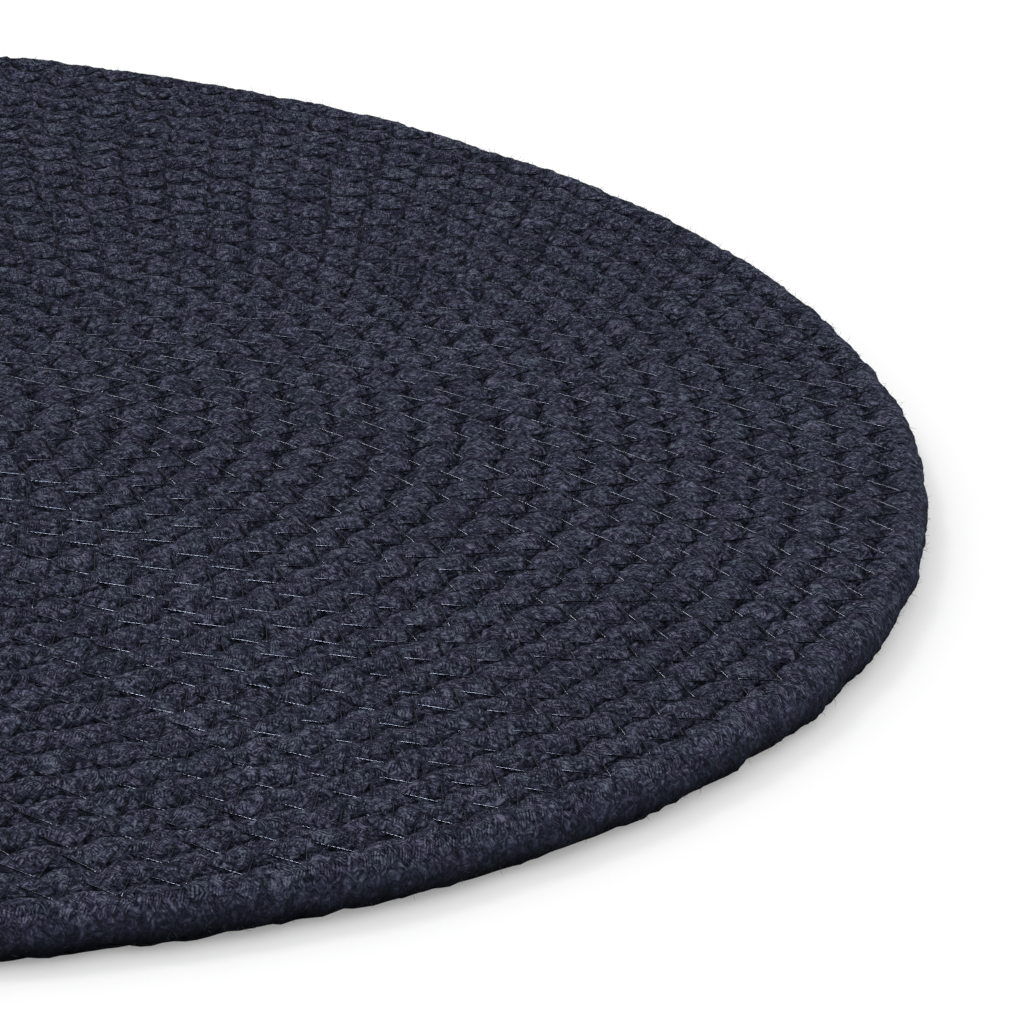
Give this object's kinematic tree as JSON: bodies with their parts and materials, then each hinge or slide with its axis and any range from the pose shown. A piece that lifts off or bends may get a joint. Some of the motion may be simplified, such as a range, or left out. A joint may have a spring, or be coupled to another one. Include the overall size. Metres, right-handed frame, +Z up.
{
  "type": "fabric placemat",
  "caption": "Round flat placemat of thick braided cotton cord, coiled into a spiral and sewn turn to turn, that lies under a plate and shields the table.",
  "frame": {"origin": "middle of the mat's outline, on the underside that lies on the table", "axes": "+Z up through the mat's thickness, away from the table; X and Y in the plane of the mat"},
  "size_m": [0.374, 0.3774, 0.008],
  "materials": {
    "cotton_cord": "matt dyed cotton cord, dark navy",
    "sewing_thread": "smooth shiny navy sewing thread"
  },
  "bodies": {
    "root": {"coiled_cord": "cotton_cord"}
  },
  "joints": []
}
